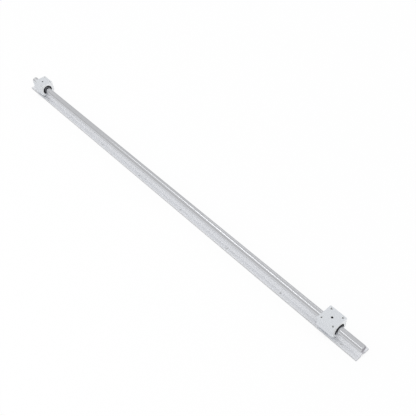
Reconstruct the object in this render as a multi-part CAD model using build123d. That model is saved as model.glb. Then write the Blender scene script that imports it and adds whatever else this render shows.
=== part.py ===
from build123d import *
import os
from math import floor, radians, tan

# Supported round rail with two open ball-bushing carriages, in millimetres.
# +X runs along the rail to its near end, +Y across it, +Z up.
# The origin is the bottom centre of the support rail.

# Support rail: one aluminium extrusion, drilled and sawn to length
rail_length = 1500.0
base_width = 45.0
flange_thickness = 5.0
flange_corner_radius = 0.6
shoulder_width = 19.0
shoulder_radius = 1.5
neck_width = 8.0
neck_foot_height = 13.0
neck_radius = 4.0
channel_width = 12.0
channel_depth = 7.0

# Base holes: two rows of through holes in the flanges
base_hole_diameter = 5.5
base_hole_spacing = 30.0
base_hole_pitch = 200.0
end_distance = 50.0

# Shaft: hard chromed round bar held in the cradle on top of the neck
shaft_diameter = 20.0
shaft_height = 27.0
shaft_chamfer = 1.0
cradle_fit = 0.02

# Screw holes from below: clear through the neck, tapped in the shaft
neck_hole_diameter = 6.4
shaft_tap_diameter = 5.0
shaft_tap_depth = 12.0

# Carriage housing: an aluminium block, bored and slotted for the shaft
housing_width = 48.0
housing_length = 50.0
housing_top_rise = 23.0
housing_total_height = 39.0
housing_foot_chamfer = 6.0
housing_edge_radius = 0.8
slot_angle = 60.0

# Tapped holes in the housing's top
tapped_hole_diameter = 5.0
tapped_hole_depth = 12.0
tapped_hole_spacing_x = 35.0
tapped_hole_spacing_y = 35.0

# Open ball bushing: steel sleeve and moulded ball retainer
bushing_diameter = 32.0
bushing_recess = 4.0
bushing_fit = 0.02
sleeve_wall = 2.5
retainer_running_clearance = 0.4

# Ball tracks: windows through the retainer, one for each row of balls
ball_diameter = 3.175
track_side_clearance = 0.15
track_count = 5
track_edge_angle = 20.0
track_end_wall = 4.0

# End seals: rubber rings that close the bore's ends in front of the bushing, above the rail's neck
seal_proud = 0.5
seal_running_clearance = 0.05
seal_slot_angle = 120.0

# Hole in the middle of the top for the set screw that holds the bushing
set_screw_hole_diameter = 6.0

# Where the two carriages stand, from each end of the rail to the carriage's middle
near_carriage_inset = 97.0
far_carriage_inset = 63.0

shaft_radius = shaft_diameter / 2
shaft_bottom = shaft_height - shaft_radius
bushing_length = housing_length - 2 * bushing_recess
seal_thickness = bushing_recess + seal_proud
housing_top = shaft_height + housing_top_rise
housing_bottom = housing_top - housing_total_height


def corners(face, points):
    """The corners of a face in the YZ plane that lie at these points or at their mirror images."""
    found = []
    for vertex in face.vertices():
        for across, up in points:
            if abs(abs(vertex.Y) - across) < 0.01 and abs(vertex.Z - up) < 0.01:
                found.append(vertex)
    return found


def mirrored_face(right_side):
    """A face in the YZ plane from the points of its right side, given from the bottom up."""
    left_side = [(-across, up) for across, up in reversed(right_side)]
    return Plane.YZ * make_face(Polyline(*right_side, *left_side, close=True))


def slot_wedge(length, depth, angle):
    """The open sector below the shaft that a carriage needs to pass the neck."""
    low = (depth * tan(radians(angle / 2)), shaft_height - depth)
    wedge = Plane.YZ * make_face(Polyline((0, shaft_height), low, (-low[0], low[1]), close=True))
    return extrude(wedge, amount=length / 2, both=True)


def along_shaft(diameter, length):
    """A round bar on the shaft's axis, centred along X."""
    return Pos(0, 0, shaft_height) * Rot(0, 90, 0) * Cylinder(diameter / 2, length)


def open_ring(outer_diameter, inner_diameter, length, angle):
    """A ring round the shaft with a slot of this angle cut out below it."""
    ring = along_shaft(outer_diameter, length) - along_shaft(inner_diameter, length)
    return ring - slot_wedge(length, outer_diameter, angle)


def base_hole_count():
    return floor((rail_length - 2 * end_distance) / base_hole_pitch) + 1


def shaft_screw_places():
    """One screw hole midway between each two neighbouring base holes."""
    count = base_hole_count() - 1
    return [(i - (count - 1) / 2) * base_hole_pitch for i in range(count)]


def support_rail():
    base_half = base_width / 2
    shoulder = (shoulder_width / 2, flange_thickness)
    neck_foot = (neck_width / 2, neck_foot_height)
    flange_top = (base_half, flange_thickness)
    flange_foot = (base_half, 0)
    channel_roof = (channel_width / 2, channel_depth)
    outline = [channel_roof, (channel_width / 2, 0), flange_foot, flange_top, shoulder, neck_foot]
    section = mirrored_face(outline + [(neck_width / 2, shaft_height)])
    section = fillet(corners(section, [flange_top, flange_foot]), flange_corner_radius)
    section = fillet(corners(section, [shoulder]), shoulder_radius)
    section = fillet(corners(section, [neck_foot]), neck_radius)
    rail = extrude(section, amount=rail_length / 2, both=True)
    rail -= along_shaft(shaft_diameter + 2 * cradle_fit, rail_length)
    drill = Cylinder(base_hole_diameter / 2, 2 * flange_thickness)
    rail -= [
        place * drill
        for place in GridLocations(base_hole_pitch, base_hole_spacing, base_hole_count(), 2)
    ]
    neck_drill = Cylinder(neck_hole_diameter / 2, 2 * shaft_height)
    return rail - [Pos(x, 0, 0) * neck_drill for x in shaft_screw_places()]


def shaft():
    bar = along_shaft(shaft_diameter, rail_length)
    bar = chamfer(bar.edges().filter_by(GeomType.CIRCLE), shaft_chamfer)
    tap = Cylinder(shaft_tap_diameter / 2, 2 * shaft_tap_depth)
    return bar - [Pos(x, 0, shaft_bottom) * tap for x in shaft_screw_places()]


def carriage_housing():
    side = housing_width / 2
    foot = (side - housing_foot_chamfer, housing_bottom)
    foot_side = (side, housing_bottom + housing_foot_chamfer)
    top_corner = (side, housing_top)
    section = mirrored_face([foot, foot_side, top_corner])
    section = fillet(corners(section, [top_corner, foot_side, foot]), housing_edge_radius)
    block = extrude(section, amount=housing_length / 2, both=True)
    bore = bushing_diameter + 2 * bushing_fit
    block -= along_shaft(bore, housing_length)
    block -= slot_wedge(housing_length, housing_total_height, slot_angle)
    tapped = Pos(0, 0, housing_top - tapped_hole_depth / 2) * Cylinder(
        tapped_hole_diameter / 2, tapped_hole_depth
    )
    block -= [
        place * tapped
        for place in GridLocations(tapped_hole_spacing_x, tapped_hole_spacing_y, 2, 2)
    ]
    set_screw_drill = Cylinder(set_screw_hole_diameter / 2, housing_top_rise)
    return block - Pos(0, 0, housing_top - housing_top_rise / 2) * set_screw_drill


def bearing_sleeve():
    inner = bushing_diameter - 2 * sleeve_wall
    return open_ring(bushing_diameter, inner, bushing_length, slot_angle)


def ball_tracks(reach):
    """Radial windows, spread evenly over the part of the retainer that the slot leaves."""
    step = (360 - slot_angle - 2 * track_edge_angle) / (track_count - 1)
    length = bushing_length - 2 * track_end_wall
    window = Pos(0, 0, reach / 2) * Box(length, ball_diameter + 2 * track_side_clearance, reach)
    angles = [(i - (track_count - 1) / 2) * step for i in range(track_count)]
    return [Pos(0, 0, shaft_height) * Rot(angle, 0, 0) * window for angle in angles]


def ball_retainer():
    outer = bushing_diameter - 2 * sleeve_wall - 2 * bushing_fit
    inner = shaft_diameter + 2 * retainer_running_clearance
    return open_ring(outer, inner, bushing_length, slot_angle) - ball_tracks(outer)


def end_seal():
    inner = shaft_diameter + 2 * seal_running_clearance
    return open_ring(bushing_diameter, inner, seal_thickness, seal_slot_angle)


def carriage(side, x):
    """Every piece of one carriage, with its middle at this place along the rail."""
    seal_place = bushing_length / 2 + seal_thickness / 2
    outwards = 1 if x > 0 else -1
    at = Pos(x, 0, 0)
    return {
        f"{side}_housing": at * carriage_housing(),
        f"{side}_bearing_sleeve": at * bearing_sleeve(),
        f"{side}_ball_retainer": at * ball_retainer(),
        f"{side}_outer_seal": at * Pos(outwards * seal_place, 0, 0) * end_seal(),
        f"{side}_inner_seal": at * Pos(-outwards * seal_place, 0, 0) * end_seal(),
    }


def main():
    os.makedirs("parts", exist_ok=True)
    pieces = {"support_rail": support_rail(), "shaft": shaft()}
    pieces |= carriage("near", rail_length / 2 - near_carriage_inset)
    pieces |= carriage("far", far_carriage_inset - rail_length / 2)
    for name, solid in pieces.items():
        export_step(solid, f"parts/{name}.step")


main()
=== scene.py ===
import math

import bmesh
import bpy
from mathutils import Matrix, Vector


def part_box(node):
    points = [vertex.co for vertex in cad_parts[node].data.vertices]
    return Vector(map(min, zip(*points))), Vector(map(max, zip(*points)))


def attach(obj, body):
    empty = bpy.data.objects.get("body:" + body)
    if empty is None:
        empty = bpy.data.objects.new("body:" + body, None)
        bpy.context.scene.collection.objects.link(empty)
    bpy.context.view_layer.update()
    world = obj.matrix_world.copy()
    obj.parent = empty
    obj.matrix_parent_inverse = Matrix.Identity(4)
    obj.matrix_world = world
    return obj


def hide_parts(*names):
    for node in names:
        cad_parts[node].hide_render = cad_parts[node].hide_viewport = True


# Supported round rail: a chromed shaft screwed along an aluminium support, with two open carriages.
# Sizes in the dictionaries are millimetres, and mm turns them into the frame's metres.
mm = 0.001

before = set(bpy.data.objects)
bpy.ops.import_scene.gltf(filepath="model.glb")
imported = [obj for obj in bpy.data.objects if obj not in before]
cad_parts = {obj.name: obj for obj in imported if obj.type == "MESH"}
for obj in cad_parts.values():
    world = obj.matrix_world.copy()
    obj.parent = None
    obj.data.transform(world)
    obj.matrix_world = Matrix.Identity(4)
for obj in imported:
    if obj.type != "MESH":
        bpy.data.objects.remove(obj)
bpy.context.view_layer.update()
print("stage: frame loaded,", len(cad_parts), "nodes")

# What the frame says about the main sizes
railLow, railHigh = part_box("support_rail")
shaftLow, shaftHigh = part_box("shaft")
shaftRadius = (shaftHigh.z - shaftLow.z) / 2
shaftHeight = (shaftHigh.z + shaftLow.z) / 2


# Small tools for outlines, meshes and nodes

def hexColour(code):  # sRGB hex to the linear values that the shader sockets take
    parts = [int(code[i:i + 2], 16) / 255 for i in (1, 3, 5)]
    linear = [part / 12.92 if part <= 0.04045 else ((part + 0.055) / 1.055) ** 2.4 for part in parts]
    return (*linear, 1.0)


# An input takes a plain value, another node's socket, or a node for its first output
def addNode(tree, kind, inputs=None, **settings):
    node = tree.nodes.new(kind)
    for key, value in settings.items():
        setattr(node, key, value)
    for key, value in (inputs or {}).items():
        if isinstance(value, bpy.types.Node):
            value = value.outputs[0]
        if isinstance(value, bpy.types.NodeSocket):
            tree.links.new(value, node.inputs[key])
        else:
            node.inputs[key].default_value = value
    return node


def arcPoints(centre, radius, start, end, step=6.0):  # degrees, from +Y towards +Z
    count = max(2, math.ceil(abs(end - start) / step))
    angles = [math.radians(start + (end - start) * i / count) for i in range(count + 1)]
    return [(centre[0] + radius * math.cos(angle), centre[1] + radius * math.sin(angle)) for angle in angles]


def roundCorners(corners, step=9.0):  # closed outline of (y, z, radius); radius 0 keeps the corner sharp
    outline = []
    for i, (y, z, radius) in enumerate(corners):
        here = Vector((y, z))
        if radius == 0:
            outline.append((y, z))
            continue
        back = (Vector(corners[i - 1][:2]) - here).normalized()
        ahead = (Vector(corners[(i + 1) % len(corners)][:2]) - here).normalized()
        half = back.angle(ahead) / 2
        centre = here + (back + ahead).normalized() * (radius / math.sin(half))
        first = here + back * (radius / math.tan(half)) - centre
        last = here + ahead * (radius / math.tan(half)) - centre
        turn = first.angle_signed(last)
        count = max(2, math.ceil(abs(math.degrees(turn)) / step))
        for k in range(count + 1):
            spoke = first.copy()
            spoke.rotate(Matrix.Rotation(-turn * k / count, 2))
            outline.append(tuple(centre + spoke))
    return outline


def insetOutline(outline, distance):  # mitred copy of a counter-clockwise outline, moved inwards
    moved = []
    for i, point in enumerate(outline):
        before = (Vector(point) - Vector(outline[i - 1])).normalized()
        after = (Vector(outline[(i + 1) % len(outline)]) - Vector(point)).normalized()
        inBefore, inAfter = Vector((-before.y, before.x)), Vector((-after.y, after.x))
        moved.append(tuple(Vector(point) + (inBefore + inAfter) * (distance / (1 + inBefore.dot(inAfter)))))
    return moved


def mirrored(corners):  # the other side's corners, in the order that goes on round the outline
    return [(-y, z, radius) for y, z, radius in reversed(corners)]


def newPiece(name, mesh, *materials):
    piece = bpy.data.objects.new(name, mesh)
    bpy.context.scene.collection.objects.link(piece)
    for material in materials:
        mesh.materials.append(material)
    return piece


def meshFrom(builder, name):
    bmesh.ops.remove_doubles(builder, verts=builder.verts, dist=1e-7)
    bmesh.ops.recalc_face_normals(builder, faces=builder.faces)
    mesh = bpy.data.meshes.new(name)
    builder.to_mesh(mesh)
    builder.free()
    return mesh


def barMesh(name, outline, stations):  # outline in metres; stations are (x, inset) from one end to the other
    builder = bmesh.new()
    rings = []
    for x, inset in stations:
        points = insetOutline(outline, inset) if inset else outline
        rings.append([builder.verts.new((x, y, z)) for y, z in points])
    for ring, following in zip(rings, rings[1:]):
        for i in range(len(ring)):
            builder.faces.new((ring[i - 1], ring[i], following[i], following[i - 1]))
    for ring in (rings[0], rings[-1]):
        builder.faces.new(ring).material_index = 1
    return meshFrom(builder, name)


# Turns a closed profile of (x, radius) about X, all the way round or through a sweep in degrees
def turnedMesh(name, profile, segments, sweep=360.0, start=0.0):
    builder = bmesh.new()
    closed = sweep == 360.0
    rings = []
    for i in range(segments if closed else segments + 1):
        turn = math.radians(start + sweep * i / segments)
        rings.append([builder.verts.new((x, radius * math.cos(turn), radius * math.sin(turn)))
                      for x, radius in profile])
    for i in range(segments):
        ring, following = rings[i], rings[(i + 1) % len(rings)]
        for k in range(len(profile)):
            corners = (ring[k - 1], ring[k], following[k], following[k - 1])
            if len({tuple(round(c, 9) for c in v.co) for v in corners}) > 2:
                builder.faces.new(corners)
    if not closed:
        builder.faces.new(rings[0])
        builder.faces.new(rings[-1])
    return meshFrom(builder, name)


def smoothMesh(mesh, angle=32.0):  # smooth faces with the corners kept sharp
    mesh.polygons.foreach_set("use_smooth", [True] * len(mesh.polygons))
    mesh.set_sharp_from_angle(angle=math.radians(angle))


def bake(piece):  # the evaluated shape becomes the piece's own plain mesh, with no modifier left
    graph = bpy.context.evaluated_depsgraph_get()
    mesh = bpy.data.meshes.new_from_object(piece.evaluated_get(graph), depsgraph=graph)
    piece.modifiers.clear()
    piece.data = mesh
    return mesh


def settle(piece):  # the large faces keep their own normals, so that flats look flat beside their fillets
    smoothMesh(bake(piece))
    piece.modifiers.new("flats", "WEIGHTED_NORMAL").keep_sharp = True
    bake(piece)
    return piece


def newTree(name, **sockets):  # a Geometry Nodes tree with named inputs; each default says the kind of socket
    kinds = {float: "Float", int: "Int", Vector: "Vector", str: "Object", bpy.types.Material: "Material"}
    tree = bpy.data.node_groups.new(name, "GeometryNodeTree")
    tree.interface.new_socket(name="Geometry", in_out="INPUT", socket_type="NodeSocketGeometry")
    tree.interface.new_socket(name="Geometry", in_out="OUTPUT", socket_type="NodeSocketGeometry")
    for socket, default in sockets.items():
        kind = kinds[type(default)]
        made = tree.interface.new_socket(name=socket, in_out="INPUT", socket_type="NodeSocket" + kind)
        if kind not in ("Object", "Material"):
            made.default_value = default
    return tree, addNode(tree, "NodeGroupInput")


def endTree(tree, geometry, material):
    real = addNode(tree, "GeometryNodeRealizeInstances", {"Geometry": geometry})
    painted = addNode(tree, "GeometryNodeSetMaterial", {"Geometry": real, "Material": material})
    addNode(tree, "NodeGroupOutput", {"Geometry": painted})
    return tree


def runTree(piece, tree, **values):
    modifier = piece.modifiers.new(tree.name, "NODES")
    modifier.node_group = tree
    for item in tree.interface.items_tree:
        if item.in_out == "INPUT" and item.name in values:
            modifier[item.identifier] = values[item.name]
    bake(piece)
    return piece


def rowAlongX(count, pitch, across=0.0):  # a row that is centred on zero: its first place and its step
    return {"First": Vector((-(count - 1) * pitch / 2, across, 0)), "Step": Vector((pitch, 0, 0))}


# Materials

def newMaterial(name):
    material = bpy.data.materials.new(name)
    material.use_nodes = True
    return material, material.node_tree, material.node_tree.nodes["Principled BSDF"]


def setShader(shader, **values):
    names = {"baseColour": "Base Color", "metallic": "Metallic", "roughness": "Roughness", "ior": "IOR",
             "anisotropic": "Anisotropic"}
    for key, value in values.items():
        shader.inputs[names[key]].default_value = value


def surfaceNoise(tree, grain, stretch, detail):  # noise whose grains are so many millimetres wide
    place = addNode(tree, "ShaderNodeTexCoord")
    scaled = addNode(tree, "ShaderNodeMapping", {"Vector": place.outputs["Object"], "Scale": stretch})
    return addNode(tree, "ShaderNodeTexNoise", {"Vector": scaled, "Scale": 1 / (grain * mm),
                                                "Detail": detail}).outputs["Fac"]


noiseLow, noiseHigh = 0.3, 0.7  # most of a noise pattern lies between these


# Gives the shader what the look holds: the plain values, two colours that the pattern runs between, a relief
# in millimetres that follows the pattern, and two roughnesses that the patches run between
def dressShader(tree, shader, look, pattern, patches=None):
    setShader(shader, **look["plain"])
    if "dark" in look:
        low, high = (noiseLow, noiseHigh) if look.get("fullContrast") else (0.0, 1.0)
        share = addNode(tree, "ShaderNodeMapRange", {"Value": pattern, "From Min": low, "From Max": high})
        colour = addNode(tree, "ShaderNodeMix", {0: share, 6: hexColour(look["dark"]),
                                                 7: hexColour(look["light"])}, data_type="RGBA")
        tree.links.new(colour.outputs[2], shader.inputs["Base Color"])
    if "depth" in look:
        relief = addNode(tree, "ShaderNodeBump", {"Height": pattern, "Distance": look["depth"] * mm})
        tree.links.new(relief.outputs[0], shader.inputs["Normal"])
    if "roughLow" in look:
        rough = addNode(tree, "ShaderNodeMapRange", {"Value": patches, "From Min": noiseLow,
                                                     "From Max": noiseHigh, "To Min": look["roughLow"],
                                                     "To Max": look["roughHigh"]})
        tree.links.new(rough.outputs[0], shader.inputs["Roughness"])


def toolMarkedMaterial(name, look):  # noise stretched the way the tool ran, and wider patches if it has any
    material, tree, shader = newMaterial(name)
    pattern = surfaceNoise(tree, look["grain"], look.get("stretch", (1, 1, 1)), look.get("detail", 3.0))
    patches = pattern
    if "patchSize" in look:
        patches = surfaceNoise(tree, look["patchSize"], look["patchStretch"], 3.0)
    dressShader(tree, shader, look, pattern, patches)
    return material


# Extruded 6063 aluminium, clear anodised: satin, with fine die lines along the length. They spread every
# reflection across the rail and keep it short along it, so the tangent runs across them. The lines are about
# 0.1 mm apart, drawn coarser to show.
extrudedLook = {"dark": "#E6E8EC", "light": "#EFF0F3", "fullContrast": True, "grain": 2.0,
                "stretch": (0.002, 1, 1), "detail": 2.0, "depth": 0.004, "roughLow": 0.38, "roughHigh": 0.44,
                "patchSize": 60.0, "patchStretch": (0.5, 1, 1),
                "plain": {"metallic": 0.4, "anisotropic": 0.6}}

# The narrow upright side faces of the flanges: painted shade, the extruded aluminium made a shade greyer so
# that these faces read darker
edgeShadeLook = {**extrudedLook, "dark": "#BFC0C2", "light": "#CFD0D2"}


def extrudedAluminium(name, look):
    material = toolMarkedMaterial(name, look)
    tree = material.node_tree
    shape = addNode(tree, "ShaderNodeNewGeometry")
    across = addNode(tree, "ShaderNodeVectorMath", {0: shape.outputs["Normal"], 1: (1, 0, 0)},
                     operation="CROSS_PRODUCT")
    tree.links.new(across.outputs[0], tree.nodes["Principled BSDF"].inputs["Tangent"])
    return material


# Sawn aluminium end: duller, with the straight feed marks of a circular saw
sawnLook = {"dark": "#A9A8AE", "light": "#C3C3C9", "fullContrast": True, "grain": 0.6,
            "stretch": (1, 0.06, 1), "detail": 4.0, "depth": 0.03,
            "plain": {"metallic": 1.0, "roughness": 0.5}}

# Hard chromed and ground bar: near mirror, faint grinding lines round it that make it shine unevenly
chromeLook = {"grain": 0.5, "stretch": (1, 0.05, 0.05), "depth": 0.001, "roughLow": 0.10, "roughHigh": 0.15,
              "plain": {"baseColour": hexColour("#C9CACD"), "metallic": 1.0}}

# Faced steel end of the bar: bare core steel with the rings that a facing tool leaves
facedLook = {"dark": "#84818A", "light": "#928F96", "ringPitch": 0.6, "ringWobble": 0.6, "depth": 0.004,
             "plain": {"metallic": 1.0, "roughness": 0.38}}


def facedSteel():
    material, tree, shader = newMaterial("faced_steel_end")
    look = facedLook
    place = addNode(tree, "ShaderNodeTexCoord")
    centred = addNode(tree, "ShaderNodeMapping", {"Vector": place.outputs["Object"],
                                                  "Location": (0, 0, -shaftHeight)})
    rings = addNode(tree, "ShaderNodeTexWave", {"Vector": centred, "Distortion": look["ringWobble"],
                                                "Scale": math.pi / (10 * look["ringPitch"] * mm)},
                    wave_type="RINGS", rings_direction="X")
    dressShader(tree, shader, look, rings.outputs["Fac"])
    return material


# Extruded and milled aluminium block, sand-blasted and clear anodised: even, matt, finely grained. The grit
# is about 0.15 mm, drawn coarser to show.
blastedLook = {"dark": "#D5D8DC", "light": "#E1E4E8", "fullContrast": True, "grain": 0.5, "detail": 5.0,
               "depth": 0.03, "roughLow": 0.46, "roughHigh": 0.56, "patchSize": 18.0,
               "patchStretch": (1, 1, 1), "plain": {"metallic": 0.6}}

# Bare aluminium where a drill and a tap have cut through the anodising: brighter and shinier than the faces
cutLook = {"dark": "#E6E8E9", "light": "#F4F5F6", "fullContrast": True, "grain": 0.25,
           "stretch": (0.2, 0.2, 1), "plain": {"metallic": 0.35, "roughness": 0.4}}

# Moulded nitrile rubber: black, matt, with a faint mould texture
rubberLook = {"dark": "#090A0B", "light": "#131416", "grain": 0.4, "depth": 0.02,
              "plain": {"roughness": 0.9, "ior": 1.4}}

# Moulded acetal ball retainer: black, slightly waxy
acetalLook = {"dark": "#141416", "light": "#232327", "grain": 1.2, "plain": {"roughness": 0.4, "ior": 1.48}}

# Hardened bearing steel, ground: grey and smooth, with fine lines round the bore
bearingLook = {"dark": "#8E9094", "light": "#A8AAAE", "grain": 0.3, "stretch": (1, 0.08, 0.08),
               "plain": {"metallic": 1.0, "roughness": 0.26}}

# Black oxide alloy steel screws: near black, oiled, with a little metal shine
oxideLook = {"dark": "#121315", "light": "#26272A", "grain": 0.8,
             "plain": {"metallic": 0.6, "roughness": 0.38}}

extruded = extrudedAluminium("extruded_anodised_aluminium", extrudedLook)
# painted shade: a greyer copy of the aluminium for the flanges' upright edge faces
edgeShadeAluminium = extrudedAluminium("extruded_aluminium_painted_edge_shade", edgeShadeLook)
sawn = toolMarkedMaterial("sawn_aluminium_end", sawnLook)
chrome = toolMarkedMaterial("ground_hard_chrome", chromeLook)
faced = facedSteel()
blasted = toolMarkedMaterial("sand_blasted_anodised_aluminium", blastedLook)
cut = toolMarkedMaterial("drilled_bare_aluminium", cutLook)
rubber = toolMarkedMaterial("moulded_nitrile_rubber", rubberLook)
acetal = toolMarkedMaterial("moulded_black_acetal", acetalLook)
bearing = toolMarkedMaterial("ground_bearing_steel", bearingLook)
oxide = toolMarkedMaterial("black_oxide_steel", oxideLook)
print("stage: materials made")


# Drilling: a tree sets one hole's solid at every place of a grid, and a Boolean takes them out of the piece

def holeGridTree():
    tree, start = newTree("holeGrid", Cutter="", CountX=1, CountY=1, First=Vector(), StepX=Vector(),
                          StepY=Vector(), Metal=cut)
    out = start.outputs
    along = addNode(tree, "GeometryNodeMeshLine", {"Count": out["CountX"], "Start Location": out["First"],
                                                   "Offset": out["StepX"]})
    across = addNode(tree, "GeometryNodeMeshLine", {"Count": out["CountY"], "Offset": out["StepY"]})
    rows = addNode(tree, "GeometryNodeInstanceOnPoints", {"Points": along, "Instance": across})
    points = addNode(tree, "GeometryNodeRealizeInstances", {"Geometry": rows})
    cutter = addNode(tree, "GeometryNodeObjectInfo", {"Object": out["Cutter"]})
    placed = addNode(tree, "GeometryNodeInstanceOnPoints", {"Points": points,
                                                            "Instance": cutter.outputs["Geometry"]})
    return endTree(tree, placed, out["Metal"])


holeGrid = holeGridTree()


# The profile is (z, radius) from the bottom up, in metres, and the metal is what the hole's wall shows
def drill(piece, profile, metal, countX=1, countY=1, pitchX=0.0, pitchY=0.0, centre=(0, 0, 0), segments=48):
    cutterMesh = turnedMesh("cutter", profile, segments)
    cutterMesh.transform(Matrix.Rotation(math.radians(-90), 4, "Y"))
    cutter = newPiece("cutter", cutterMesh)
    holes = newPiece("holes", bpy.data.meshes.new("holes"))
    first = Vector(centre) - Vector(((countX - 1) * pitchX, (countY - 1) * pitchY, 0)) / 2
    runTree(holes, holeGrid, Cutter=cutter, CountX=countX, CountY=countY, First=first,
            StepX=Vector((pitchX, 0, 0)), StepY=Vector((0, pitchY, 0)), Metal=metal)
    cutting = piece.modifiers.new("holes", "BOOLEAN")
    cutting.operation, cutting.solver, cutting.material_mode = "DIFFERENCE", "EXACT", "TRANSFER"
    cutting.object = holes
    settle(piece)
    bpy.data.objects.remove(holes)
    bpy.data.objects.remove(cutter)
    return piece


# Support rail: one extrusion with a thin neck and a cradle, drilled along both flanges, sawn off at its ends
railShape = {"flangeThickness": 5.0, "flangeRadius": 0.6, "shoulderHalf": 9.5, "shoulderRadius": 1.5,
             "neckHalf": 4.0, "neckFoot": 13.0, "neckRadius": 4.0, "channelHalf": 6.0, "channelDepth": 7.0,
             "channelRadius": 0.5, "cradleFit": 0.02, "endBreak": 0.25, "baseHole": 5.5, "holeBreak": 0.35,
             "holeSpacing": 30.0, "holePitch": 200.0, "holeCount": 8, "neckHole": 6.4, "neckHoleCount": 7}


def supportRail():
    size = railShape
    half = (railHigh.y - railLow.y) / 2 / mm
    height, radius = shaftHeight / mm, shaftRadius / mm + size["cradleFit"]
    lip = math.degrees(math.acos(size["neckHalf"] / radius))  # where the neck's side meets the cradle
    corners = [(size["channelHalf"], size["channelDepth"], size["channelRadius"]),
               (size["channelHalf"], 0, 0), (half, 0, size["flangeRadius"]),
               (half, size["flangeThickness"], size["flangeRadius"]),
               (size["shoulderHalf"], size["flangeThickness"], size["shoulderRadius"]),
               (size["neckHalf"], size["neckFoot"], size["neckRadius"])]
    cradle = [(y, z, 0) for y, z in arcPoints((0, height), radius, -lip, -90)]
    outline = roundCorners(corners + cradle + mirrored(corners + cradle[:-1]))
    outline = [(y * mm, z * mm) for y, z in outline]
    ends = size["endBreak"] * mm
    stations = [(railLow.x, ends), (railLow.x + ends, 0), (railHigh.x - ends, 0), (railHigh.x, ends)]
    piece = newPiece("support_extrusion", barMesh("support_extrusion", outline, stations), extruded, sawn)
    radius, chamfer, top = size["baseHole"] / 2 * mm, size["holeBreak"] * mm, size["flangeThickness"] * mm
    mouth = radius + chamfer + mm
    through = [(-mm, 0), (-mm, mouth), (chamfer, radius), (top - chamfer, radius), (top + mm, mouth),
               (top + mm, 0)]
    drill(piece, through, cut, size["holeCount"], 2, size["holePitch"] * mm, size["holeSpacing"] * mm)
    radius = size["neckHole"] / 2 * mm
    drill(piece, [(mm, 0), (mm, radius), (shaftHeight, radius), (shaftHeight, 0)], cut, size["neckHoleCount"],
          1, size["holePitch"] * mm)
    # the flanges' upright edge faces get the greyer copy of the aluminium, which is painted shade
    piece.data.materials.append(edgeShadeAluminium)
    for face in piece.data.polygons:  # the upright faces at the flanges' edges
        if abs(face.normal.y) > 0.7 and abs(face.center.y) > (half - 1) * mm:
            face.material_index = len(piece.data.materials) - 1
    return piece


support = supportRail()
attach(support, "rail")
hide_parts("support_rail")
print("stage: support rail")


# Shaft: ground bar with a chamfer at each end, tapped from below for the screws
shaftShape = {"chamfer": 1.0, "edgeBreak": 0.15, "segments": 144, "tapDrill": 5.0, "tapDepth": 12.0}


def shaftBar():
    size = shaftShape
    chamfer, edge, radius, end = size["chamfer"] * mm, size["edgeBreak"] * mm, shaftRadius, railHigh.x
    # The last point is a ring a little way in, so that the chamfer doesn't tilt the long face's normals
    half = [(end, 0), (end, radius - chamfer - edge), (end - edge, radius - chamfer + edge * 0.2),
            (end - chamfer, radius - edge * 0.3), (end - chamfer - edge, radius), (end - 2 * chamfer, radius)]
    profile = half + [(-x, r) for x, r in reversed(half)]
    mesh = turnedMesh("ground_shaft", profile, size["segments"])
    mesh.transform(Matrix.Translation((0, 0, shaftHeight)))
    piece = newPiece("ground_shaft", mesh, chrome, faced)
    for face in mesh.polygons:
        face.material_index = 1 if abs(face.normal.x) > 0.9 else 0
    top, tap = shaftLow.z + size["tapDepth"] * mm, size["tapDrill"] / 2 * mm
    return drill(piece, [(0, 0), (0, tap), (top, tap), (top, 0)], faced, railShape["neckHoleCount"], 1,
                 railShape["holePitch"] * mm, segments=24)


shaftPiece = shaftBar()
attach(shaftPiece, "rail")
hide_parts("shaft")
print("stage: shaft")


# Socket head screws from below, through the neck into the shaft
screwShape = {"diameter": 6.0, "length": 20.0, "headDiameter": 10.0, "headHeight": 6.0, "headChamfer": 0.5,
              "socketWidth": 5.0, "socketDepth": 3.0, "headSides": 48, "shankSides": 32}


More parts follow.
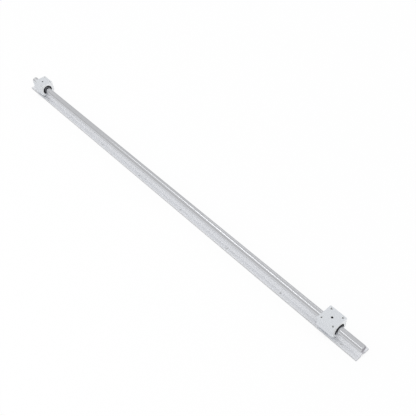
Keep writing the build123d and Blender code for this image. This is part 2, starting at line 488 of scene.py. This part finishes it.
def screwRowTree():
    tree, start = newTree("screwRow", Count=1, First=Vector(), Step=Vector(), HeadTop=0.0, HeadRadius=0.005,
                          HeadHeight=0.006, ShankRadius=0.003, ShankLength=0.02, SocketRadius=0.003,
                          SocketDepth=0.003, Chamfer=0.0005, Steel=oxide)
    out = start.outputs

    def solid(radius, height, bottom, sides, topRadius=None):  # a cylinder or cone standing on a height
        made = addNode(tree, "GeometryNodeMeshCone", {"Vertices": sides, "Radius Top": topRadius or radius,
                                                      "Radius Bottom": radius, "Depth": height})
        up = addNode(tree, "ShaderNodeCombineXYZ", {2: bottom})
        return addNode(tree, "GeometryNodeTransform", {"Geometry": made.outputs["Mesh"], "Translation": up})

    bottom = addNode(tree, "ShaderNodeMath", {0: out["HeadTop"], 1: out["HeadHeight"]}, operation="SUBTRACT")
    height = addNode(tree, "ShaderNodeMath", {0: out["HeadHeight"], 1: out["Chamfer"]}, operation="SUBTRACT")
    foot = addNode(tree, "ShaderNodeMath", {0: bottom, 1: out["Chamfer"]}, operation="ADD")
    rimRadius = addNode(tree, "ShaderNodeMath", {0: out["HeadRadius"], 1: out["Chamfer"]},
                        operation="SUBTRACT")
    depth = addNode(tree, "ShaderNodeMath", {0: out["SocketDepth"], 1: 2.0}, operation="MULTIPLY")
    below = addNode(tree, "ShaderNodeMath", {0: bottom, 1: out["SocketDepth"]}, operation="SUBTRACT")
    body = solid(out["HeadRadius"], height, foot, screwShape["headSides"])
    rim = solid(rimRadius, out["Chamfer"], bottom, screwShape["headSides"], out["HeadRadius"])
    shank = solid(out["ShankRadius"], out["ShankLength"], out["HeadTop"], screwShape["shankSides"])
    socket = solid(out["SocketRadius"], depth, below, 6)
    whole = addNode(tree, "GeometryNodeMeshBoolean", {1: body}, operation="UNION", solver="EXACT")
    tree.links.new(rim.outputs[0], whole.inputs[1])
    tree.links.new(shank.outputs[0], whole.inputs[1])
    screw = addNode(tree, "GeometryNodeMeshBoolean", {0: whole, 1: socket}, operation="DIFFERENCE",
                    solver="EXACT")
    line = addNode(tree, "GeometryNodeMeshLine", {"Count": out["Count"], "Start Location": out["First"],
                                                  "Offset": out["Step"]})
    row = addNode(tree, "GeometryNodeInstanceOnPoints", {"Points": line, "Instance": screw})
    return endTree(tree, row, out["Steel"])


def shaftScrews():
    size, count = screwShape, railShape["neckHoleCount"]
    row = newPiece("shaft_screws", bpy.data.meshes.new("shaft_screws"))
    runTree(row, screwRowTree(), **rowAlongX(count, railShape["holePitch"] * mm), Count=count,
            HeadTop=railShape["channelDepth"] * mm, HeadRadius=size["headDiameter"] / 2 * mm,
            HeadHeight=size["headHeight"] * mm, ShankRadius=size["diameter"] / 2 * mm,
            ShankLength=size["length"] * mm, SocketRadius=size["socketWidth"] / math.sqrt(3) * mm,
            SocketDepth=size["socketDepth"] * mm, Chamfer=size["headChamfer"] * mm, Steel=oxide)
    return settle(row)


screws = shaftScrews()
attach(screws, "rail")
print("stage: shaft screws")


# Carriages: the block, its open bushing with ball rows and end seals, threads and the set screw
# The drill's point is the cone of a 118 degree drill, as a share of its radius
blockShape = {"topRadius": 0.8, "footChamfer": 6.0, "footRadius": 0.8, "bore": 32.04, "boreStep": 4.0,
              "slotHalfAngle": 30.0, "endBreak": 0.4, "tapMajor": 6.0, "tapDepth": 12.0, "tapMouth": 0.6,
              "tapSpacing": 35.0, "drillPoint": 0.6, "centreHole": 6.0, "centreMouth": 0.3}


def housingBlock(side, centreX):
    size = blockShape
    low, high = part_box(side + "_housing")
    half, top, bottom = high.y / mm, high.z / mm, low.z / mm
    height, gap = shaftHeight / mm, size["slotHalfAngle"]
    slot = math.tan(math.radians(gap)) * (height - bottom)
    corners = [(slot, bottom, 0), (half - size["footChamfer"], bottom, size["footRadius"]),
               (half, bottom + size["footChamfer"], size["footRadius"]), (half, top, size["topRadius"])]
    bore = arcPoints((0, height), size["bore"] / 2, 270 - gap, -90 + gap, size["boreStep"])
    corners += mirrored(corners) + [(y, z, 0) for y, z in bore]
    outline = [(y * mm, z * mm) for y, z in roundCorners(corners)]
    edge = size["endBreak"] * mm
    stations = [(low.x, edge), (low.x + edge, 0), (high.x - edge, 0), (high.x, edge)]
    piece = newPiece(side + "_block", barMesh(side + "_block", outline, stations), blasted, blasted)
    radius, mouth, face = size["tapMajor"] / 2 * mm, size["tapMouth"] * mm, high.z
    end = face - size["tapDepth"] * mm
    tapped = [(end - radius * size["drillPoint"], 0), (end, radius), (face - mouth, radius),
              (face + mm, radius + mouth + mm), (face + mm, 0)]
    drill(piece, tapped, cut, 2, 2, size["tapSpacing"] * mm, size["tapSpacing"] * mm, (centreX, 0, 0))
    radius, mouth = size["centreHole"] / 2 * mm, size["centreMouth"] * mm
    middle = [(shaftHeight, 0), (shaftHeight, radius), (face - mouth, radius),
              (face + mm, radius + mouth + mm), (face + mm, 0)]
    return drill(piece, middle, cut, centre=(centreX, 0, 0))


threadShape = {"pitch": 1.0, "ridge": 0.42, "top": 0.5, "stepsPerTurn": 28, "ridgeSides": 4}


def threadTree():
    tree, start = newTree("tappedThreads", Radius=0.003, Pitch=0.001, Turns=11.0, Ridge=0.0004,
                          Spacing=0.035, Floor=Vector(), Metal=cut)
    out = start.outputs
    rise = addNode(tree, "ShaderNodeMath", {0: out["Pitch"], 1: out["Turns"]}, operation="MULTIPLY")
    helix = addNode(tree, "GeometryNodeCurveSpiral", {"Resolution": threadShape["stepsPerTurn"],
                                                      "Rotations": out["Turns"],
                                                      "Start Radius": out["Radius"],
                                                      "End Radius": out["Radius"], "Height": rise})
    crest = addNode(tree, "GeometryNodeCurvePrimitiveCircle", {"Resolution": threadShape["ridgeSides"],
                                                               "Radius": out["Ridge"]})
    ridge = addNode(tree, "GeometryNodeCurveToMesh", {"Curve": helix, "Profile Curve": crest,
                                                      "Fill Caps": True})
    grid = addNode(tree, "GeometryNodeMeshGrid", {"Size X": out["Spacing"], "Size Y": out["Spacing"],
                                                  "Vertices X": 2, "Vertices Y": 2})
    placed = addNode(tree, "GeometryNodeTransform", {"Geometry": grid, "Translation": out["Floor"]})
    rows = addNode(tree, "GeometryNodeInstanceOnPoints", {"Points": placed, "Instance": ridge})
    return endTree(tree, rows, out["Metal"])


threads = threadTree()

# Open rings: sleeve, seals and scrapers leave a gap below the shaft, as wide as the neck of the rail needs
ringShape = {"sleeveHalfGap": 30.0, "sealHalfGap": 60.0, "sleeveWall": 2.5, "sleeveChamfer": 0.3,
             "segments": 100}


def openRing(name, centreX, profile, material, halfGap):
    mesh = turnedMesh(name, profile, ringShape["segments"], sweep=360.0 - 2 * halfGap, start=-90.0 + halfGap)
    mesh.transform(Matrix.Translation((centreX, 0, shaftHeight)))
    smoothMesh(mesh)
    return newPiece(name, mesh, material)


def bearingSleeve(side):
    low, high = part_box(side + "_bearing_sleeve")
    size, outer, half = ringShape, high.y, (high.x - low.x) / 2
    inner, chamfer = outer - size["sleeveWall"] * mm, size["sleeveChamfer"] * mm
    profile = [(-half, inner), (-half, outer - chamfer), (-half + chamfer, outer), (half - chamfer, outer),
               (half, outer - chamfer), (half, inner)]
    return openRing(side + "_sleeve", (low.x + high.x) / 2, profile, bearing, size["sleeveHalfGap"])


# End seal: a rubber ring with a moulded groove, round a thin steel ring that scrapes the shaft. The groove's
# bottom is a share of its mouth.
sealShape = {"scraperInner": 10.05, "scraperOuter": 11.2, "scraperSunk": 0.4, "faceBreak": 0.4,
             "grooveDepth": 0.35, "grooveAt": 13.6, "grooveHalf": 0.35, "grooveBottom": 0.4}


def endSeal(side, place):
    size = sealShape
    node = f"{side}_{place}_seal"
    low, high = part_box(node)
    blockLow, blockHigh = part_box(side + "_housing")
    centreX = (low.x + high.x) / 2
    outwards = 1 if centreX > (blockLow.x + blockHigh.x) / 2 else -1
    half, outer, edge = (high.x - low.x) / 2, high.y, size["faceBreak"] * mm
    hole, step, sunk = size["scraperInner"] * mm, size["scraperOuter"] * mm, half - size["scraperSunk"] * mm
    groove, mouth, floor = size["grooveAt"] * mm, size["grooveHalf"] * mm, half - size["grooveDepth"] * mm
    bottom = mouth * size["grooveBottom"]
    rubberFace = [(-half, step), (-half, outer), (half - edge, outer), (half, outer - edge),
                  (half, groove + mouth), (floor, groove + bottom), (floor, groove - bottom),
                  (half, groove - mouth), (half, step + edge), (half - edge, step)]
    steelFace = [(-half, hole), (-half, step), (sunk, step), (sunk, hole + edge), (sunk - edge, hole)]
    ring = openRing(node + "_ring", centreX, [(outwards * x, r) for x, r in rubberFace], rubber,
                    ringShape["sealHalfGap"])
    scraper = openRing(f"{side}_{place}_scraper", centreX, [(outwards * x, r) for x, r in steelFace], bearing,
                       ringShape["sealHalfGap"])
    return ring, scraper


# The balls roll a little clear of the shaft, so that their facets don't cut its facets
ballShape = {"diameter": 3.175, "clear": 0.03, "rows": 5, "firstAngle": -40.0, "rowStep": 65.0,
             "perRow": 9, "pitch": 3.6, "subdivisions": 3}


def ballTree():
    tree, start = newTree("ballRows", PerRow=9, First=Vector(), Step=Vector(), Rows=5, FirstTurn=0.0,
                          TurnStep=1.0, Radius=0.0016, Centre=Vector(), Steel=bearing)
    out = start.outputs
    ball = addNode(tree, "GeometryNodeMeshIcoSphere", {"Radius": out["Radius"],
                                                       "Subdivisions": ballShape["subdivisions"]})
    line = addNode(tree, "GeometryNodeMeshLine", {"Count": out["PerRow"], "Start Location": out["First"],
                                                  "Offset": out["Step"]})
    row = addNode(tree, "GeometryNodeInstanceOnPoints", {"Points": line, "Instance": ball.outputs["Mesh"]})
    rowMesh = addNode(tree, "GeometryNodeRealizeInstances", {"Geometry": row})
    hub = addNode(tree, "GeometryNodeMeshLine", {"Count": out["Rows"], "Start Location": out["Centre"],
                                                 "Offset": (0.0, 0.0, 0.0)})
    index = addNode(tree, "GeometryNodeInputIndex")
    turn = addNode(tree, "ShaderNodeMath", {0: index, 1: out["TurnStep"], 2: out["FirstTurn"]},
                   operation="MULTIPLY_ADD")
    spin = addNode(tree, "ShaderNodeCombineXYZ", {0: turn})
    fan = addNode(tree, "GeometryNodeInstanceOnPoints", {"Points": hub, "Instance": rowMesh,
                                                         "Rotation": spin})
    return endTree(tree, fan, out["Steel"])


balls = ballTree()

setScrewShape = {"radius": 2.95, "length": 5.6, "sunk": 0.7, "chamfer": 0.5, "socketWidth": 3.0,
                 "socketDepth": 2.5, "segments": 48}


def setScrew(side, centreX, top):  # a black screw with a hexagonal socket, just below the block's top
    size = setScrewShape
    radius, chamfer, head = size["radius"] * mm, size["chamfer"] * mm, top - size["sunk"] * mm
    foot = head - size["length"] * mm
    profile = [(foot, 0), (foot, radius - chamfer), (foot + chamfer, radius), (head - chamfer, radius),
               (head, radius - chamfer), (head, 0)]
    mesh = turnedMesh(side + "_set_screw", profile, size["segments"])
    mesh.transform(Matrix.Translation((centreX, 0, 0)) @ Matrix.Rotation(math.radians(-90), 4, "Y"))
    piece = newPiece(side + "_set_screw", mesh, oxide)
    bottom, corner = head - size["socketDepth"] * mm, size["socketWidth"] / math.sqrt(3) * mm
    socket = [(bottom, 0), (bottom, corner), (head + mm, corner), (head + mm, 0)]
    return drill(piece, socket, oxide, centre=(centreX, 0, 0), segments=6)


def carriage(side):
    body = side + "_carriage"
    low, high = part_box(side + "_housing")
    centreX = (low.x + high.x) / 2
    size, thread, ball = blockShape, threadShape, ballShape
    block = housingBlock(side, centreX)
    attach(block, body)
    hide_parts(side + "_housing")
    turns = (size["tapDepth"] - thread["top"]) / thread["pitch"]
    ridge = newPiece(side + "_tapped_threads", bpy.data.meshes.new(side + "_tapped_threads"))
    runTree(ridge, threads, Radius=size["tapMajor"] / 2 * mm, Pitch=thread["pitch"] * mm, Turns=turns,
            Ridge=thread["ridge"] * mm, Spacing=size["tapSpacing"] * mm,
            Floor=Vector((centreX, 0, high.z - size["tapDepth"] * mm)), Metal=cut)
    settle(ridge)
    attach(ridge, body)
    for place in ("outer", "inner"):
        seal, scraper = endSeal(side, place)
        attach(seal, body)
        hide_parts(f"{side}_{place}_seal")
        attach(scraper, body)
    sleeve = bearingSleeve(side)
    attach(sleeve, body)
    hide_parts(side + "_bearing_sleeve")
    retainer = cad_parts[side + "_ball_retainer"]  # its shape is right, so it only gets the plastic
    for holder in retainer.material_slots:
        holder.material = acetal
    radius = ball["diameter"] / 2 * mm
    orbit = shaftRadius + radius + ball["clear"] * mm
    rows = newPiece(side + "_bearing_balls", bpy.data.meshes.new(side + "_bearing_balls"))
    runTree(rows, balls, **rowAlongX(ball["perRow"], ball["pitch"] * mm, orbit), PerRow=ball["perRow"],
            Rows=ball["rows"], FirstTurn=math.radians(ball["firstAngle"]),
            TurnStep=math.radians(ball["rowStep"]), Radius=radius,
            Centre=Vector((centreX, 0, shaftHeight)), Steel=bearing)
    settle(rows)
    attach(rows, body)
    screw = setScrew(side, centreX, high.z)
    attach(screw, body)


for side in ("near", "far"):
    carriage(side)
    print("stage:", side, "carriage")


# Floor, light and camera. The contact values say how near and how closed in the floor has to be to go dark.
studio = {"floorSize": 30.0, "floorColour": "#F4F4F5", "floorGlow": 0.92, "contactReach": 0.03,
          "contactDark": 0.1, "contactClear": 0.6, "contactRays": 8, "roomLevel": 0.845,
          "wallTowards": (0.669, 0.0, 0.743), "wallExtra": 0.66, "wallSharpness": 7.0, "bandLevel": 0.62,
          "bandMiddle": 0.08, "bandFull": 0.03, "bandNone": 0.17, "aim": (0.2, 0.0, 0.03)}

# Softboxes, in metres: each is a strip from start to end. The key strips make the bright line on the shaft,
# and the one beyond the far end lightens that end of the rail.
softboxes = {
    "key_near": {"start": (0.5, -1.6, 1.64), "end": (0.1, -1.25, 1.64), "width": 0.16, "level": 2.2},
    "key_middle": {"start": (0.1, -1.25, 1.64), "end": (-0.3, -0.78, 1.64), "width": 0.16, "level": 2.5},
    "key_far": {"start": (-0.3, -0.78, 1.64), "end": (-1.0, -0.25, 1.64), "width": 0.2, "level": 2.7},
    "key_end": {"start": (-1.0, -0.25, 1.64), "end": (-1.8, -0.3, 1.64), "width": 0.25, "level": 1.5},
    "beyond": {"start": (-2.85, -0.3, 1.64), "end": (-3.3, -0.3, 1.64), "width": 1.6, "level": 0.5},
    "back": {"start": (0.1, 1.6, 1.2), "end": (-1.15, 1.6, 1.2), "width": 0.12, "level": 1.4},
    "fill": {"start": (0.05, -0.9, 0.75), "end": (0.6, -0.9, 0.75), "width": 0.4, "level": 0.55},
}


def floorMaterial():  # white to the eye and in metal, but dark under the rail and at the bottom of its holes
    material, tree, shader = newMaterial("pale_floor")
    setShader(shader, baseColour=hexColour(studio["floorColour"]), roughness=0.9)
    ray = addNode(tree, "ShaderNodeLightPath")
    seen = addNode(tree, "ShaderNodeMath", {0: ray.outputs["Is Camera Ray"], 1: ray.outputs["Is Glossy Ray"]},
                   operation="MAXIMUM")
    seen = addNode(tree, "ShaderNodeMath", {0: seen, 1: ray.outputs["Is Transmission Ray"]},
                   operation="MAXIMUM")
    openness = addNode(tree, "ShaderNodeAmbientOcclusion", {"Distance": studio["contactReach"]},
                       samples=studio["contactRays"])
    clear = addNode(tree, "ShaderNodeMapRange", {"Value": openness.outputs["AO"],
                                                 "From Min": studio["contactDark"],
                                                 "From Max": studio["contactClear"],
                                                 "To Min": 0.0, "To Max": studio["floorGlow"]})
    share = addNode(tree, "ShaderNodeMath", {0: seen, 1: clear}, operation="MULTIPLY")
    glow = addNode(tree, "ShaderNodeEmission", {"Strength": 1.0})
    mixed = addNode(tree, "ShaderNodeMixShader", {0: share, 1: shader, 2: glow})
    tree.links.new(mixed.outputs[0], tree.nodes["Material Output"].inputs["Surface"])
    return material


def studioFloor():
    builder = bmesh.new()
    bmesh.ops.create_grid(builder, x_segments=1, y_segments=1, size=studio["floorSize"] / 2)
    mesh = bpy.data.meshes.new("studio_floor")
    builder.to_mesh(mesh)
    builder.free()
    floor = newPiece("studio_floor", mesh, floorMaterial())


# An even room, brighter towards one wall and dimmer in a band just above the floor, and white to the camera
def studioWorld():
    world = bpy.data.worlds.new("studio")
    bpy.context.scene.world = world
    world.use_nodes = True
    tree = world.node_tree
    tree.nodes.clear()
    way = addNode(tree, "ShaderNodeTexCoord").outputs["Generated"]
    towards = addNode(tree, "ShaderNodeVectorMath", {0: way, 1: studio["wallTowards"]},
                      operation="DOT_PRODUCT")
    fade = addNode(tree, "ShaderNodeMath", {0: towards.outputs["Value"], 1: studio["wallSharpness"],
                                            2: -studio["wallSharpness"]}, operation="MULTIPLY_ADD")
    wall = addNode(tree, "ShaderNodeMath", {0: fade}, operation="EXPONENT")
    height = addNode(tree, "ShaderNodeSeparateXYZ", {0: way})
    offset = addNode(tree, "ShaderNodeMath", {0: height.outputs["Z"], 1: studio["bandMiddle"]},
                     operation="SUBTRACT")
    gap = addNode(tree, "ShaderNodeMath", {0: offset}, operation="ABSOLUTE")
    band = addNode(tree, "ShaderNodeMapRange", {"Value": gap, "From Min": studio["bandFull"],
                                                "From Max": studio["bandNone"],
                                                "To Min": studio["bandLevel"] * studio["roomLevel"],
                                                "To Max": studio["roomLevel"]},
                   interpolation_type="SMOOTHSTEP")
    level = addNode(tree, "ShaderNodeMath", {0: wall, 1: studio["wallExtra"], 2: band},
                    operation="MULTIPLY_ADD")
    room = addNode(tree, "ShaderNodeBackground", {"Color": (1, 1, 1, 1), "Strength": level})
    white = addNode(tree, "ShaderNodeBackground", {"Color": (1, 1, 1, 1), "Strength": 1.0})
    ray = addNode(tree, "ShaderNodeLightPath")
    mixed = addNode(tree, "ShaderNodeMixShader", {0: ray.outputs["Is Camera Ray"], 1: room, 2: white})
    addNode(tree, "ShaderNodeOutputWorld", {"Surface": mixed})


def softbox(name, start, end, width, level):  # level is the brightness that a mirror shows
    start, end = Vector(start), Vector(end)
    length = (end - start).length
    light = bpy.data.lights.new(name, "AREA")
    light.shape = "RECTANGLE"
    light.size, light.size_y = length, width
    light.energy = level * math.pi * length * width
    lamp = bpy.data.objects.new(name, light)
    lamp.visible_camera = False
    lamp.visible_glossy = not name.startswith("fill")  # the fill only lifts the matt faces, unseen in the bar
    bpy.context.scene.collection.objects.link(lamp)
    middle, along = (start + end) / 2, (end - start).normalized()
    back = middle - Vector(studio["aim"])
    back = (back - along * back.dot(along)).normalized()
    turned = Matrix((along, back.cross(along), back)).transposed().to_4x4()
    lamp.matrix_world = Matrix.Translation(middle) @ turned


# The camera was fitted to the rail's holes and edges in the photo: angles in degrees, lengths in metres,
# and the focal length in pixels of the 416 pixel picture
cameraFit = {"azimuth": 52.735, "elevation": 46.333, "roll": -4.796, "distance": 1.77739,
             "target": (0.1466, 0.04922, 0.0), "focalPixels": 617.91, "picturePixels": 416, "clipEnd": 100.0}


def photoCamera():
    fit = cameraFit
    azimuth, elevation, roll = (math.radians(fit[angle]) for angle in ("azimuth", "elevation", "roll"))
    back = Vector((math.sin(azimuth) * math.cos(elevation), -math.cos(azimuth) * math.cos(elevation),
                   math.sin(elevation)))
    right = (-back).cross(Vector((0, 0, 1))).normalized()
    upward = right.cross(-back)
    turnedRight = right * math.cos(roll) + upward * math.sin(roll)
    turnedUp = upward * math.cos(roll) - right * math.sin(roll)
    lens = bpy.data.cameras.new("photo_camera")
    lens.sensor_width = 36.0
    lens.lens = fit["focalPixels"] * lens.sensor_width / fit["picturePixels"]
    lens.clip_end = fit["clipEnd"]
    camera = bpy.data.objects.new("photo_camera", lens)
    bpy.context.scene.collection.objects.link(camera)
    turned = Matrix((turnedRight, turnedUp, back)).transposed().to_4x4()
    camera.matrix_world = Matrix.Translation(Vector(fit["target"]) + back * fit["distance"]) @ turned
    bpy.context.scene.camera = camera


studioFloor()
studioWorld()
for name, box in softboxes.items():
    softbox(name + "_softbox", **box)
photoCamera()
bpy.context.scene.view_settings.view_transform = "Standard"
print("stage: floor, light and camera")
